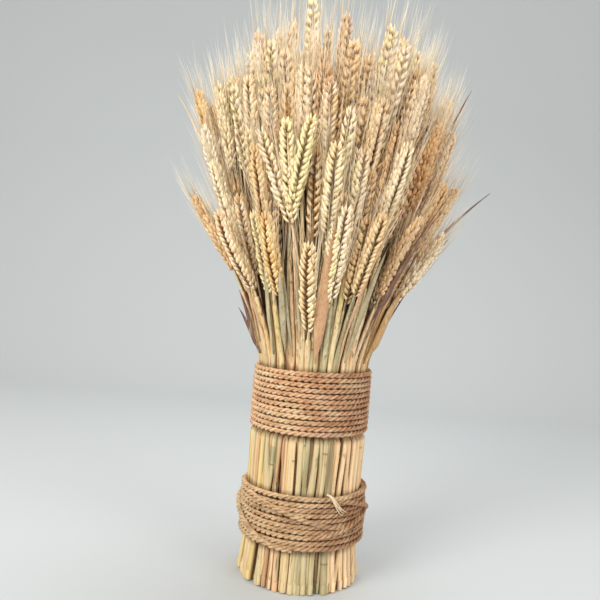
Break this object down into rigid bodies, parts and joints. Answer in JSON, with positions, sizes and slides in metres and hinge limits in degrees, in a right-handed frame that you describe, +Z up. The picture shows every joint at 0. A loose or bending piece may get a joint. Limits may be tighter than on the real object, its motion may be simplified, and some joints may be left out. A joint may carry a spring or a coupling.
{
  "type": "dried wheat sheaf",
  "caption": "Free-standing tied sheaf of dried bearded wheat: flat-cut straws in two wide bands of wound cord, with the ears fanned out above.",
  "frame": {"origin": "middle of the cut straw ends, on the surface it stands on", "axes": "+Z up along the straws to the ears; the picture's front faces -Y and its right is +X"},
  "size_m": [0.3234, 0.2839, 0.6042],
  "materials": {
    "straw_gold": "dry, satin straw and ears in warm gold",
    "straw_tan": "dry, satin straw and ears in tan",
    "straw_pale": "dry, satin straw and ears in pale cream yellow",
    "straw_ochre": "dry, satin straw and ears in orange ochre",
    "straw_inner": "dry straw and ears, mixed gold and cream",
    "cord": "matt twisted natural fibre, warm brown"
  },
  "bodies": {
    "root": {"stalk_01": "straw_gold", "stalk_02": "straw_tan", "stalk_03": "straw_pale", "stalk_04": "straw_ochre", "stalk_05": "straw_gold", "stalk_06": "straw_tan", "stalk_07": "straw_pale", "stalk_08": "straw_ochre", "stalk_09": "straw_gold", "stalk_10": "straw_tan", "stalk_11": "straw_pale", "stalk_12": "straw_ochre", "stalk_13": "straw_gold", "stalk_14": "straw_tan", "stalk_15": "straw_pale", "stalk_16": "straw_ochre", "stalk_17": "straw_gold", "stalk_18": "straw_tan", "stalk_19": "straw_pale", "stalk_20": "straw_ochre", "stalk_21": "straw_gold", "stalk_22": "straw_tan", "stalk_23": "straw_pale", "stalk_24": "straw_ochre", "stalk_25": "straw_gold", "stalk_26": "straw_tan", "stalk_27": "straw_pale", "stalk_28": "straw_ochre", "stalk_29": "straw_gold", "stalk_30": "straw_tan", "stalk_31": "straw_pale", "stalk_32": "straw_ochre", "stalk_33": "straw_gold", "stalk_34": "straw_tan", "stalk_35": "straw_pale", "stalk_36": "straw_ochre", "stalk_37": "straw_gold", "stalk_38": "straw_tan", "stalk_39": "straw_pale", "stalk_40": "straw_ochre", "stalk_41": "straw_gold", "stalk_42": "straw_tan", "stalk_43": "straw_pale", "stalk_44": "straw_ochre", "stalk_45": "straw_gold", "stalk_46": "straw_tan", "stalk_47": "straw_pale", "stalk_48": "straw_ochre", "inner_stalks": "straw_inner", "lower_cord_band": "cord", "upper_cord_band": "cord"}
  },
  "joints": []
}
